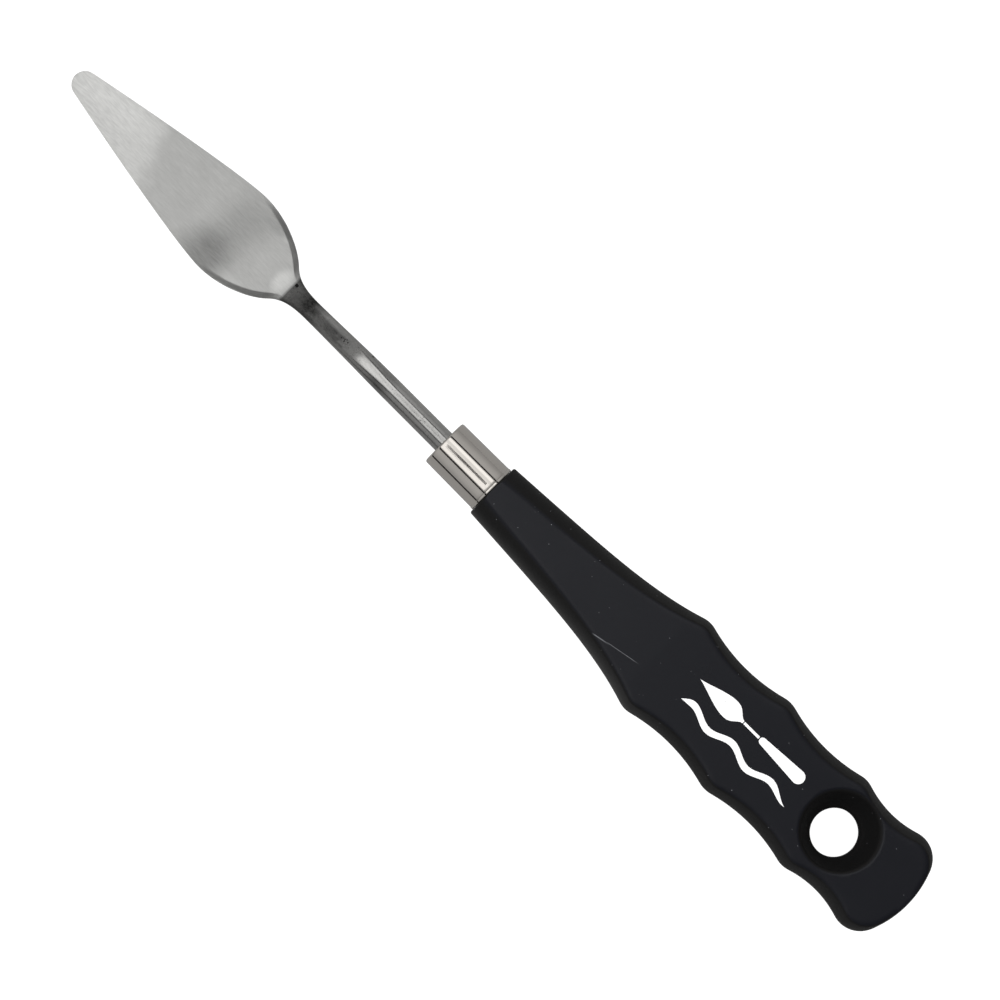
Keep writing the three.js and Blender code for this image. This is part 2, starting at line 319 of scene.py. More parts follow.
def blade_top(s, y):
    """Height of the blade's upper face over its lower one."""
    distance = edge_distance(np.stack([np.full_like(y, s), y], 1))
    thickness = blade_thickness(s)
    heel = ease(s, BEVEL_START, BEVEL_FULL)
    edge = mix(thickness - EDGE_DROP, HEEL_EDGE_THICKNESS, heel)
    bevel = min(mix(TIP_BEVEL, HEEL_BEVEL, heel), half_width(s) * BEVEL_SHARE)
    slope = edge + (thickness - edge) * (distance / bevel) ** mix(1.0, BEVEL_HOLLOW, heel)
    height = soft_min(slope, np.full_like(y, thickness), BEVEL_SOFTNESS)
    lip = np.sqrt(np.maximum(1 - (1 - np.minimum(distance / LIP_ROUNDING, 1)) ** 2, 0))
    return height * mix(LIP_SHARE, 1.0, lip)


def steel_ring(s, steps=RING_STEPS):
    """Cross section of blade, neck and rod: a bevelled sheet that turns into a bar, then a rod."""
    turn = 2 * math.pi * np.arange(steps) / steps
    half = float(half_width(s))
    y = half * np.cos(turn)
    up = np.sin(turn)
    top, bottom = up > LEVEL, up < -LEVEL

    round_share = float(ease(s, NECK[0], ROD_START))
    flat_share = float(ease(s, SEAM_S, NECK[0]))
    bar_half = mix(mix(SEAM_THICKNESS / 2, NECK_HALF_HEIGHT, flat_share), ROD_RADIUS, round_share)
    power = mix(BAR_POWER, ROD_POWER, round_share)
    bulge = bar_half * np.maximum(1 - np.abs(np.cos(turn)) ** power, 0) ** (1 / power)
    bar = steel_height(s) + np.sign(up) * bulge

    bar_share = float(ease(s, SHEET_END, BAR_START))
    if bar_share < 1:
        underside = steel_height(s) - blade_thickness(s) / 2
        distance = edge_distance(np.stack([np.full_like(y, s), y], 1))
        low_edge = UNDER_EDGE * (1 - np.clip(distance / UNDER_EDGE, 0, 1))
        sheet = np.where(top, underside + blade_top(s, y), underside + low_edge)
        sheet[~(top | bottom)] = underside + HEEL_EDGE_THICKNESS / 2
        z = mix(sheet, bar, bar_share)
    else:
        z = bar
    return np.stack([np.full(steps, s), y, z], 1)


def tang_ring(s, clearance=0.0, steps=RING_STEPS):
    turn = 2 * math.pi * np.arange(steps) / steps
    wing = float(ease(s, TANG_WING_START, TANG_WING_FULL))
    half = mix(ROD_RADIUS, TANG_WING_HALF_WIDTH, wing) + clearance
    half_height = mix(ROD_RADIUS, TANG_WING_HALF_HEIGHT, wing) + clearance
    power = mix(ROD_POWER, WING_POWER, wing)
    y = np.sign(np.cos(turn)) * np.abs(np.cos(turn)) ** (2 / power) * half
    z = np.sign(np.sin(turn)) * np.abs(np.sin(turn)) ** (2 / power) * half_height
    return np.stack([np.full(steps, s), y, AXIS_Z + z], 1)


def blade_mesh():
    tip = TIP_RADIUS * (1 - np.cos(np.linspace(FIRST_RING_TURN, math.pi / 2, TIP_RINGS)))
    body = np.arange(TIP_RADIUS + AFTER_TIP_STEP, SEAM_S, BLADE_STEP)
    stations = np.concatenate([tip, body, [SEAM_S]])
    return loft("ground_blade", [steel_ring(s) for s in stations], STEEL_SMOOTH_ANGLE)


def shank_mesh():
    rings = [steel_ring(s) for s in np.arange(SEAM_S, ROD_START, NECK_STEP)]
    rings += [steel_ring(s) for s in np.arange(ROD_START, TANG_WING_START, ROD_STEP)]
    rings += [tang_ring(s) for s in np.arange(TANG_WING_START, TANG_WING_FULL, WING_STEP)]
    rings += [tang_ring(TANG_WING_FULL)]
    rings += [tang_ring(TANG_END + behind, growth) for behind, growth in TANG_END_RINGS]
    return loft("forged_shank", rings, STEEL_SMOOTH_ANGLE)


# ---------------------------------------------------------------- ferrule shape


def ferrule_mesh():
    r = FERRULE_ROUNDING
    bead = BEAD_LENGTH / 2
    bead_rise = BEAD_RADIUS - FERRULE_REAR_RADIUS
    profile = [(FERRULE_FRONT + FERRULE_WALL, FERRULE_HOLE_RADIUS)]
    profile += [(FERRULE_FRONT + FERRULE_CHAMFER, FERRULE_HOLE_RADIUS)]
    profile += [(FERRULE_FRONT, FERRULE_HOLE_RADIUS + FERRULE_CHAMFER)]
    profile += [(FERRULE_FRONT, FERRULE_FRONT_RADIUS - r - FERRULE_FLAT)]
    profile += arc((FERRULE_FRONT + r, FERRULE_FRONT_RADIUS - r), r, 180, 91, FERRULE_ROUNDING_STEPS)
    body_end = FERRULE_REAR - BEAD_LENGTH - BEAD_GAP
    body_start = FERRULE_FRONT + r + FERRULE_BODY_START
    for s in np.linspace(body_start, body_end, FERRULE_BODY_STEPS):
        share = (s - FERRULE_FRONT) / (FERRULE_REAR - FERRULE_FRONT)
        profile.append((s, mix(FERRULE_FRONT_RADIUS, FERRULE_REAR_RADIUS, share)))
    for turn in np.linspace(0, math.pi, BEAD_STEPS):
        s = FERRULE_REAR - bead - bead * math.cos(turn)
        rise = (bead_rise + BEAD_SINK) * math.sin(turn) ** BEAD_FULLNESS
        profile.append((s, FERRULE_REAR_RADIUS - BEAD_SINK + rise))
    profile.append((FERRULE_REAR, FERRULE_REAR_RADIUS - FERRULE_WALL))
    profile.append((FERRULE_FRONT + FERRULE_WALL, FERRULE_FRONT_RADIUS - FERRULE_WALL))
    profile.append(profile[0])
    return turned("plated_ferrule", profile, FERRULE_STEPS, TURNED_SMOOTH_ANGLE)


# ---------------------------------------------------------------- handle shape


def handle_radius(s):
    x = s - HANDLE_FRONT - FRONT_CORNER
    radius = FLARE_RADIUS + FLARE_SLOPE * x + FLARE_RISE * np.maximum(x / FLARE_OVER, 0) ** FLARE_POWER
    for centre, floor, curve in SCALLOPS:
        radius = soft_min(radius, floor + (s - centre) ** 2 / (2 * curve), RIDGE_SOFTNESS)
    return radius


def handle_outline():
    """Turned outline of the handle, as (s, radius), from the spigot's face to the butt's pole."""
    front_radius = float(handle_radius(np.array(HANDLE_FRONT + FRONT_CORNER)))
    c = FRONT_CORNER
    points = [(SPIGOT_FRONT, 0), (SPIGOT_FRONT, SPIGOT_RADIUS - SPIGOT_CHAMFER)]
    points += [(SPIGOT_FRONT + SPIGOT_CHAMFER, SPIGOT_RADIUS), (HANDLE_FRONT, SPIGOT_RADIUS)]
    points += [(HANDLE_FRONT, front_radius - c - FRONT_FLAT)]
    points += arc((HANDLE_FRONT + c, front_radius - c), c, 180, 96, CORNER_STEPS)
    body = np.arange(HANDLE_FRONT + c + CORNER_TO_BODY, BODY_END, BODY_STEP)
    points += list(zip(body, handle_radius(body)))
    corner = (BUTT_CORNER_S, BUTT_CORNER_RADIUS - BUTT_BEND)
    points += arc(corner, BUTT_BEND, BUTT_BEND_FROM, BUTT_BEND_TO, BUTT_BEND_STEPS)
    dome = (TOTAL_LENGTH - BUTT_CURVE, 0)
    points += arc(dome, BUTT_CURVE, BUTT_BEND_TO - BEND_TO_DOME, 0, BUTT_CURVE_STEPS)
    return np.array(points)


def grip_half_thickness(s):
    share = np.clip((s - HANDLE_FRONT) / (GRIP_FLAT_START - HANDLE_FRONT), 0, 1)
    return mix(FRONT_HALF_THICKNESS, AXIS_Z, share)


def quarter_turns(crease):
    """Angles from the side (0) up to the crown (90 degrees), close together at the crease."""
    side = crease * (1 - np.linspace(1, 0, SIDE_STEPS) ** CREASE_PACKING)
    inward = np.linspace(0, 1, FACE_STEPS)[1:] ** CREASE_PACKING
    across = np.cos(crease) / max(math.sin(crease), TINY)
    crown = np.arctan2(1.0, across * (1 - inward))
    return np.concatenate([side, crown])


def handle_ring(s, radius):
    """One ring of the turned outline, drawn in towards the axis where a grip face cuts it."""
    hub = min(s, TOTAL_LENGTH - BUTT_HUB)
    faced = s > HANDLE_FRONT - STATION_SLACK
    limit = float(grip_half_thickness(s)) if faced else NO_FACE
    crease = math.asin(min(1.0, limit / max(radius, TINY)))
    quarter = quarter_turns(crease)
    half = np.concatenate([quarter, math.pi - quarter[-2::-1]])
    turn = np.concatenate([half, -half[-2:0:-1]])
    scale = np.ones_like(turn)
    if faced:
        cut_off = max(1 - limit / max(radius, TINY), LEAST_CUT)
        softness = min(GRIP_EDGE_SOFTNESS, SOFTNESS_SHARE * cut_off)
        reach = limit / np.maximum(np.abs(radius * np.sin(turn)), TINY)
        scale = soft_min(scale, reach, softness)
    along = hub + (s - hub) * scale
    return np.stack(
        [along, radius * np.cos(turn) * scale, AXIS_Z + radius * np.sin(turn) * scale], 1
    )


def handle_mesh():
    rings = [handle_ring(s, max(radius, 1e-4)) for s, radius in handle_outline()]
    handle = loft("moulded_handle", rings, TURNED_SMOOTH_ANGLE)
    wings = np.linspace(TANG_WING_START, TANG_WING_FULL, 4)
    stations = [SPIGOT_FRONT - 1, *wings, TANG_END + BORE_CLEARANCE]
    bore = [tang_ring(s, BORE_CLEARANCE, BORE_STEPS) for s in stations]
    cut(handle, loft("bore", bore))
    cut(handle, hole_cutter())
    tidy_mesh(handle, TURNED_SMOOTH_ANGLE)
    shading = handle.modifiers.new("even_shading", "WEIGHTED_NORMAL")
    shading.keep_sharp = True
    shading.weight = SHADING_WEIGHT
    return handle


def hole_profile():
    """(height over the axis, radius) from the middle of the land to just over the grip face."""
    land = HOLE_LAND / 2
    points = [(0.0, HOLE_RADIUS), (land - LAND_ROUNDING, HOLE_RADIUS)]
    points += [(land - LAND_CORNER, HOLE_RADIUS + LAND_CORNER_OUT)]
    points += [(land + LAND_RISE, HOLE_RADIUS + DISH_START)]
    rim = AXIS_Z - RIM_DROP
    for t in np.linspace(DISH_FIRST, 1, DISH_STEPS):
        radius = mix(HOLE_RADIUS + DISH_START, DISH_RADIUS - RIM_WIDTH / 2, t**DISH_BOW)
        points.append((mix(land + LAND_RISE, rim, t), radius))
    for t in np.linspace(RIM_FIRST, 1, RIM_STEPS):
        radius = mix(DISH_RADIUS - RIM_WIDTH / 2, DISH_RADIUS + RIM_WIDTH / 2, t)
        points.append((AXIS_Z + RIM_PROUD - (RIM_DROP + RIM_PROUD) * (1 - t) ** RIM_BOW, radius))
    points += [(AXIS_Z + CUTTER_OVER, DISH_RADIUS + RIM_WIDTH)]
    return points


def hole_cutter():
    steps = HOLE_STEPS
    turn = 2 * math.pi * np.arange(steps) / steps
    rings = []
    upper = hole_profile()
    for height, radius in [(-h, r) for h, r in upper[:0:-1]] + upper:
        lean = float(np.clip((abs(height) - HOLE_LAND / 2) / (AXIS_Z - HOLE_LAND / 2), 0, 1))
        shift = math.copysign(DISH_OFFSET * lean, height)
        rings.append(
            np.stack(
                [
                    HOLE_S + radius * np.cos(turn),
                    shift + radius * np.sin(turn),
                    np.full(steps, AXIS_Z + height),
                ],
                1,
            )
        )
    return loft("hole", rings)


# ---------------------------------------------------------------- printed mark


MARK_S, MARK_Y = 159.0, 2.3  # the knife's tip
STROKE_LENGTH, STROKE_Y = 27.0, -2.6
STROKE_SWING, STROKE_WAVES, STROKE_HALF_WIDTH = 0.75, 2.75, 0.62
STROKE_STEPS, STROKE_LEAST = 90, 0.02
START_TAPER, END_TAPER = 12, 6  # each end narrows over one part in so many
INK_THICKNESS, INK_SUNK = 0.03, 0.01  # over and under the grip face


def flat_shape(name, outlines):
    """Thin ink shapes on the upper grip face, from closed (s, y) outlines."""
    top = 2 * AXIS_Z
    points, faces = [], []
    for outline in outlines:
        start, count = len(points), len(outline)
        points += [(s, y, top - INK_SUNK) for s, y in outline]
        points += [(s, y, top + INK_THICKNESS) for s, y in outline]
        faces.append(tuple(range(start + count - 1, start - 1, -1)))
        faces.append(tuple(range(start + count, start + 2 * count)))
        for j in range(count):
            k = (j + 1) % count
            faces.append((start + j, start + k, start + count + k, start + count + j))
    return mesh_object(name, np.array(points), faces)


def knife_pictogram():
    """A small knife, as three solid shapes: leaf blade, stem and grip."""
    s, y = MARK_S, MARK_Y
    long_side = bezier((s, y), (s + 2.5, y + 0.5), (s + 5.5, y + 2.1), (s + 8, y + 1.9), 12)
    heel = bezier((s + 8, y + 1.9), (s + 9.5, y + 1.8), (s + 10, y + 0.3), (s + 11, y + 0.25), 8)
    upper = np.concatenate([long_side, heel[1:]])
    leaf = np.concatenate([upper, (upper * [1, -1] + [0, 2 * y])[::-1][:-1]])
    stem = [(s + 11.2, y - 0.25), (s + 15, y - 0.25), (s + 15, y + 0.25), (s + 11.2, y + 0.25)]
    grip = arc((s + 25, y), 1.3, -90, 90, 12) + arc((s + 15.9, y), 0.7, 90, 270, 8)
    return [leaf, stem, grip]


def paint_stroke():
    """A wavy band that narrows at both ends."""
    steps = np.linspace(0, 1, STROKE_STEPS)
    s = MARK_S + STROKE_LENGTH * steps
    y = STROKE_Y + STROKE_SWING * np.sin(steps * STROKE_WAVES * 2 * math.pi)
    start = np.sin(np.clip(steps * START_TAPER, 0, 1) * math.pi / 2)
    end = np.sin(np.clip((1 - steps) * END_TAPER, 0, 1) * math.pi / 2)
    half = np.maximum(STROKE_HALF_WIDTH * start * end, STROKE_LEAST)
    return [list(zip(s, y + half)) + list(zip(s[::-1], (y - half)[::-1]))]


# ---------------------------------------------------------------- material helpers


def node(tree, kind, inputs=None, **settings):
    made = tree.nodes.new(kind)
    for key, value in settings.items():
        setattr(made, key, value)
    for key, value in (inputs or {}).items():
        if isinstance(value, bpy.types.NodeSocket):
            tree.links.new(value, made.inputs[key])
        else:
            made.inputs[key].default_value = value
    return made


def maths(tree, operation, a, b=0.0):
    return node(tree, "ShaderNodeMath", {0: a, 1: b}, operation=operation).outputs[0]


def step_up(tree, value, low, high, start=0.0, end=1.0):
    """Smooth step of value from start below low to end above high."""
    inputs = {"Value": value, "From Min": low, "From Max": high, "To Min": start, "To Max": end}
    return node(tree, "ShaderNodeMapRange", inputs, interpolation_type="SMOOTHSTEP").outputs[0]


def place_nodes(tree):
    """(s, y, z) in millimetres as a vector socket, and its s and y."""
    coordinates = node(tree, "ShaderNodeTexCoord")
    scaled = node(
        tree,
        "ShaderNodeMapping",
        {"Vector": coordinates.outputs["Object"], "Location": (-TIP_X / MM, 0, 0), "Scale": (1 / MM,) * 3},
    ).outputs[0]
    parts = node(tree, "ShaderNodeSeparateXYZ", {0: scaled})
    return scaled, parts.outputs[0], parts.outputs[1]


def stretched_noise(tree, place, grain, detail):
    """Noise with its own number of bumps per millimetre along s, y and z."""
    mapped = node(tree, "ShaderNodeMapping", {"Vector": place, "Scale": grain}).outputs[0]
    inputs = {"Vector": mapped, "Scale": 1.0, "Detail": detail, "Roughness": 0.5}
    return node(tree, "ShaderNodeTexNoise", inputs).outputs[0]


def scattered_cells(tree, place, grain):
    """Distance from the nearest of many scattered points."""
    mapped = node(tree, "ShaderNodeMapping", {"Vector": place, "Scale": grain}).outputs[0]
    return node(tree, "ShaderNodeTexVoronoi", {"Vector": mapped, "Scale": 1.0}).outputs[0]


def patch(tree, place, centre, radii, core=0.0):
    """1 inside an ellipsoid at centre, fading to 0 at its radii."""
    away = node(tree, "ShaderNodeVectorMath", {0: place, 1: centre}, operation="SUBTRACT").outputs[0]
    share = node(tree, "ShaderNodeVectorMath", {0: away, 1: radii}, operation="DIVIDE").outputs[0]
    length = node(tree, "ShaderNodeVectorMath", {0: share}, operation="LENGTH").outputs["Value"]
    return step_up(tree, length, core, 1.0, 1.0, 0.0)


def tinted(tree, colour, factor):
    """A colour times a factor socket."""
    return node(
        tree, "ShaderNodeVectorMath", {0: colour, "Scale": factor}, operation="SCALE"
    ).outputs[0]


def blended(tree, share, first, second):
    made = node(tree, "ShaderNodeMix", {0: share, 6: first, 7: second}, data_type="RGBA")
    return made.outputs[2]


def new_material(name):
    made = bpy.data.materials.new(name)
    made.use_nodes = True
    made.node_tree.nodes.clear()
    return made


def finish_material(made, inputs):
    tree = made.node_tree
    shader = node(tree, "ShaderNodeBsdfPrincipled", inputs)
    node(tree, "ShaderNodeOutputMaterial", {"Surface": shader.outputs[0]})
    return made


def bump(tree, height, strength, distance, below=None):
    inputs = {"Height": height, "Strength": strength, "Distance": distance}
    if below is not None:
        inputs["Normal"] = below
    return node(tree, "ShaderNodeBump", inputs).outputs[0]


# ---------------------------------------------------------------- materials

# A ramp is (from, to, value before, value after); positions are in millimetres. A patch is
# (centre, radii, core, change): an ellipsoid and what it adds to the tone inside it. A grain is
# the number of bumps per millimetre along s, y and z, and a bump (strength, metres).


def plus(tree, base, mask, amount):
    """base + mask * amount."""
    return maths(tree, "ADD", base, maths(tree, "MULTIPLY", mask, amount))


def times(tree, first, second):
    return maths(tree, "MULTIPLY", first, second)


def centred(tree, noise):
    """Noise moved down to run from -0.5 to 0.5."""
    return maths(tree, "SUBTRACT", noise, 0.5)


def patched(tree, place, tone, patches):
    for centre, radii, core, change in patches:
        tone = plus(tree, tone, patch(tree, place, centre, radii, core), change)
    return tone


BLADE_COLOUR, BLADE_TONE = (0.66, 0.66, 0.645), 0.79
FINE_GRAIN, COARSE_GRAIN = (0.35, 9.0, 9.0), (0.12, 2.6, 2.6)
SCORED_GRAIN, BLADE_MOTTLE = (0.6, 3.6, 3.6), (0.25, 0.3, 0.3)
FINE_DEPTH, COARSE_DEPTH, MOTTLE_DEPTH = 0.22, 0.10, 0.10
SCORED_DEPTH = (12.0, 24.0, 0.52, 0.20)  # the tip is scored deepest
GRIND_SLANT, GRIND_WANDER = 0.41, 7.0  # the border of the tip's grind leans and wanders
# the tip's coarser grind is painted lighter: painted light for the brighter reflection it shows
TIP_GRIND, TIP_GRIND_PAINTED_LIGHT = (17.5, 23.0, 1.0, 0.0), 0.24
BLADE_PAINTED_LIGHT_AND_SHADE = (
    ((39.9, -6.8, 1.0), (7.6, 7.6, 50.0), 0.15, -0.30),  # painted shade, darkest near one edge
    ((41.5, 0.8, 1.0), (7.5, 11.0, 50.0), 0.0, -0.17),  # painted shade across the blade
    ((53.9, 0.0, 2.0), (2.3, 3.4, 50.0), 0.3, 0.27),  # painted highlight ahead of the seam
    ((7.0, 1.8, 0.5), (15.0, 4.5, 50.0), 0.2, 0.09),  # painted highlight on the tip
    ((42.5, 5.5, 1.0), (9.5, 5.0, 50.0), 0.1, -0.07),  # painted shade on the shoulder
)
# painted glints on one bevel near the heel, broken by the fine grain
GLINT_CENTRE, GLINT_RADII, GLINT_LIFT = (49.6, 6.0, 1.2), (2.6, 1.0, 50.0), 0.35
PAINTED_LIT_BEVEL, PAINTED_SHADED_BEVEL = (-6.5, -5.0, 1.0, 0.0), (4.5, 6.5, 0.0, 1.4)  # across the blade: painted light on one heel bevel, painted shade on the other
BEVEL_CHANGE = (42.0, 46.0, 0.0, 0.08)
SEAM_DARK = (SEAM_S - 0.55, SEAM_S, 0.0, 0.45)
BLADE_ROUGHNESS, BLADE_ROUGHNESS_GRAIN = 0.38, 0.14
FINE_BUMP, COARSE_BUMP = (0.25, 0.00002), (0.15, 0.00004)


def blade_steel():
    """Stainless steel ground along the blade, with the coarser grind at the tip. Its tone carries painted
    reflections: light on the tip's grind and the tip, shade near the heel and shoulder, a highlight ahead
    of the seam, glints on a bevel, and light and shade on the heel's two bevels."""
    made = new_material("blade_steel")
    tree = made.node_tree
    place, s, y = place_nodes(tree)
    fine = stretched_noise(tree, place, FINE_GRAIN, detail=4)
    coarse = stretched_noise(tree, place, COARSE_GRAIN, detail=3)
    scored = stretched_noise(tree, place, SCORED_GRAIN, detail=3)
    mottle = stretched_noise(tree, place, BLADE_MOTTLE, detail=3)

    slant = plus(tree, s, y, GRIND_SLANT)
    slant = plus(tree, slant, centred(tree, mottle), GRIND_WANDER)
    tone = plus(tree, BLADE_TONE, step_up(tree, slant, *TIP_GRIND), TIP_GRIND_PAINTED_LIGHT)
    # painted shade and highlights where the blade's reflections fall
    tone = patched(tree, place, tone, BLADE_PAINTED_LIGHT_AND_SHADE)
    # painted light and shade on the two bevels near the heel
    painted_bevel_light = maths(tree, "SUBTRACT", step_up(tree, y, *PAINTED_LIT_BEVEL), step_up(tree, y, *PAINTED_SHADED_BEVEL))
    tone = plus(tree, tone, painted_bevel_light, step_up(tree, s, *BEVEL_CHANGE))
    glint = times(tree, patch(tree, place, GLINT_CENTRE, GLINT_RADII), fine)
    tone = plus(tree, tone, glint, GLINT_LIFT)
    tone = plus(tree, tone, centred(tree, fine), FINE_DEPTH)
    tone = plus(tree, tone, centred(tree, coarse), COARSE_DEPTH)
    tone = plus(tree, tone, centred(tree, scored), step_up(tree, slant, *SCORED_DEPTH))
    tone = plus(tree, tone, centred(tree, mottle), MOTTLE_DEPTH)
    tone = maths(tree, "SUBTRACT", tone, step_up(tree, s, *SEAM_DARK))

    normal = bump(tree, fine, *FINE_BUMP)
    normal = bump(tree, coarse, *COARSE_BUMP, normal)
    return finish_material(
        made,
        {
            "Base Color": tinted(tree, BLADE_COLOUR, tone),
            "Metallic": 1.0,
            "Roughness": plus(tree, BLADE_ROUGHNESS, fine, BLADE_ROUGHNESS_GRAIN),
            "Normal": normal,
        },
    )


SHANK_COLOUR, SHANK_TONE, SHANK_LEAST = (0.56, 0.555, 0.54), 0.205, 0.02
DRAWN_GRAIN, SCALE_GRAIN = (0.25, 11.0, 11.0), (0.9, 1.6, 1.6)
PIT_GRAIN, SHANK_MOTTLE = (3.2, 4.2, 4.2), (2.0, 4.0, 4.0)
SCALE_DEPTH, SHANK_MOTTLE_DEPTH = 0.2, 0.16
DRAWN_DEPTH = (0.0, 1.0, 0.20, 0.30)  # deeper where the rod is bright

# The rod's bright top: a painted highlight that starts narrow and rounded on the neck; further back the
# whole rod takes its own bright tone, and only the rod's roundness bounds the highlight
TONGUE_BEND, TONGUE_BLOTCH = 1.6, 1.2
TONGUE_START, TONGUE_EDGE = (72.8, 75.6, 0.0, 1.0), (0.55, 0.88, 1.0, 0.0)
TONGUE_FREE, TONGUE_LIFT = (79.0, 84.0, 0.0, 1.0), 0.375
WORN_AND_PAINTED_LIGHT, WORN_LIGHT_BLOTCH = (67.5, 72.0, 0.0, 0.27), 5.0  # where the scale wears off the neck; the lift is also painted light on the crank's slope
# Painted light on the sides of neck and rod, the right side lighter on the neck
FLANKS_START = (59.5, 65.5, 0.0, 1.0)
LEFT_FLANK, LEFT_FLANK_TONE = (-1.9, -0.2, 1.0, 0.0), (66.0, 73.0, 0.50, 0.62)
RIGHT_FLANK, RIGHT_FLANK_TONE = (-0.3, 1.7, 0.0, 1.0), (77.0, 83.0, 0.71, 0.62)
# Painted shade on the rod's left side, and on its top further back
SHADE_ACROSS, SHADE_START = (-0.7, -0.3, 0.21, 0.0), (76.0, 80.0, 0.0, 1.0)
SHADED_TOP_ACROSS, SHADED_TOP_START, SHADED_TOP_CHANGE = (0.5, 0.9, 1.0, 0.0), (82.0, 88.0, 0.0, 1.0), 0.10
NECK_PATCHES = (
    ((60.9, 0.5, 3.2), (2.8, 2.6, 30.0), 0.2, -0.12),  # darkest scale
    ((67.2, 0.3, 5.0), (2.6, 1.1, 30.0), 0.0, -0.03),  # smoky streak
    ((64.2, 0.0, 5.0), (1.8, 3.0, 30.0), 0.0, 0.06),  # thin scale
)
SPECKS_CENTRE, SPECKS_RADII, SPECKS_SHARE = (70.2, 0.3, 5.0), (2.0, 0.9, 30.0), 0.16
SPECK_LEVEL, SPECK_DARK = (0.68, 0.74, 0.0, 1.0), 0.35
PITS = (
    ((56.3, 1.35, 3.2), (0.5, 0.4, 3.0)),
    ((75.7, 1.9, 6.9), (0.35, 0.35, 0.7)),
)
PIT_CORE, PIT_DARK = 0.4, 0.6
SHANK_ROUGHNESS, SHANK_ROUGHNESS_GRAIN = 0.14, 0.08
SCALE_ROUGHNESS = (69.0, 76.0, 0.20, 0.0)
DRAWN_BUMP, SPECK_BUMP = (0.2, 0.00002), (0.4, 0.00006)


def painted_highlight_and_bright_rod(tree, s, off_axis, blotch):
    """1 on the rod's bright top, a painted highlight on the neck and the rod's own bright tone further
    back, and 0 beside and ahead of it.
    """
    crown = maths(tree, "SUBTRACT", s, times(tree, maths(tree, "POWER", off_axis, 2.0), TONGUE_BEND))
    crown = plus(tree, crown, blotch, TONGUE_BLOTCH)
    narrow = step_up(tree, off_axis, *TONGUE_EDGE)
    narrow = maths(tree, "MAXIMUM", narrow, step_up(tree, s, *TONGUE_FREE))
    return times(tree, step_up(tree, crown, *TONGUE_START), narrow)


def shank_steel():
    """Drawn rod, bright but not polished, whose forged neck keeps its dark scale towards the blade. The
    rod's highlight, the light on its sides and the shade on its left side and top are painted.
    """
    made = new_material("shank_steel")
    tree = made.node_tree
    place, s, y = place_nodes(tree)
    drawn = stretched_noise(tree, place, DRAWN_GRAIN, detail=4)
    scale = stretched_noise(tree, place, SCALE_GRAIN, detail=5)
    pitted = stretched_noise(tree, place, PIT_GRAIN, detail=2)
    mottle = stretched_noise(tree, place, SHANK_MOTTLE, detail=4)
    blotch = centred(tree, scale)
    off_axis = maths(tree, "ABSOLUTE", y)

    # painted highlight on the neck, the rod's own bright tone further back
    highlight_and_bright_rod = painted_highlight_and_bright_rod(tree, s, off_axis, blotch)
    worn_and_painted_light = step_up(tree, plus(tree, s, blotch, WORN_LIGHT_BLOTCH), *WORN_AND_PAINTED_LIGHT)
    tone = plus(tree, maths(tree, "ADD", SHANK_TONE, worn_and_painted_light), highlight_and_bright_rod, TONGUE_LIFT)
    tone = patched(tree, place, tone, NECK_PATCHES)

    # painted light on the sides
    left = times(tree, step_up(tree, y, *LEFT_FLANK), step_up(tree, s, *LEFT_FLANK_TONE))
    right = times(tree, step_up(tree, y, *RIGHT_FLANK), step_up(tree, s, *RIGHT_FLANK_TONE))
    painted_side_light = times(tree, maths(tree, "MAXIMUM", left, right), step_up(tree, s, *FLANKS_START))
    tone = maths(tree, "MAXIMUM", tone, painted_side_light)
    # painted shade on the rod's left side and top
    shade = times(tree, step_up(tree, y, *SHADE_ACROSS), step_up(tree, s, *SHADE_START))
    shaded_top = times(tree, step_up(tree, off_axis, *SHADED_TOP_ACROSS), step_up(tree, s, *SHADED_TOP_START))
    tone = maths(tree, "SUBTRACT", tone, plus(tree, shade, shaded_top, SHADED_TOP_CHANGE))

    tone = plus(tree, tone, centred(tree, drawn), step_up(tree, highlight_and_bright_rod, *DRAWN_DEPTH))
    tone = plus(tree, tone, blotch, SCALE_DEPTH)
    tone = plus(tree, tone, centred(tree, mottle), SHANK_MOTTLE_DEPTH)
    cluster = patch(tree, place, SPECKS_CENTRE, SPECKS_RADII)
    speck = step_up(tree, plus(tree, pitted, cluster, SPECKS_SHARE), *SPECK_LEVEL)
    tone = plus(tree, tone, speck, -SPECK_DARK)
    pit = maths(tree, "MAXIMUM", *(patch(tree, place, *where, PIT_CORE) for where in PITS))
    tone = plus(tree, tone, pit, -PIT_DARK)
    tone = maths(tree, "MAXIMUM", tone, SHANK_LEAST)

    rough = plus(tree, SHANK_ROUGHNESS, drawn, SHANK_ROUGHNESS_GRAIN)
    rough = maths(tree, "ADD", rough, step_up(tree, s, *SCALE_ROUGHNESS))
    normal = bump(tree, drawn, *DRAWN_BUMP)
    normal = bump(tree, times(tree, speck, -1.0), *SPECK_BUMP, normal)
    return finish_material(
        made,
        {
            "Base Color": tinted(tree, SHANK_COLOUR, tone),
            "Metallic": 1.0,
            "Roughness": rough,
            "Normal": normal,
        },
    )


NICKEL_COLOUR, NICKEL_TONE = (0.69, 0.655, 0.61), 0.95
SMEAR_GRAIN, HAIR_GRAIN = (0.35, 0.35, 0.35), (0.5, 14.0, 14.0)
SMEAR_DEPTH, HAIR_DEPTH = 0.08, 0.10
NICKEL_ROUGHNESS, NICKEL_ROUGHNESS_SMEAR = 0.055, 0.05
HAIR_BUMP = (0.06, 0.00001)


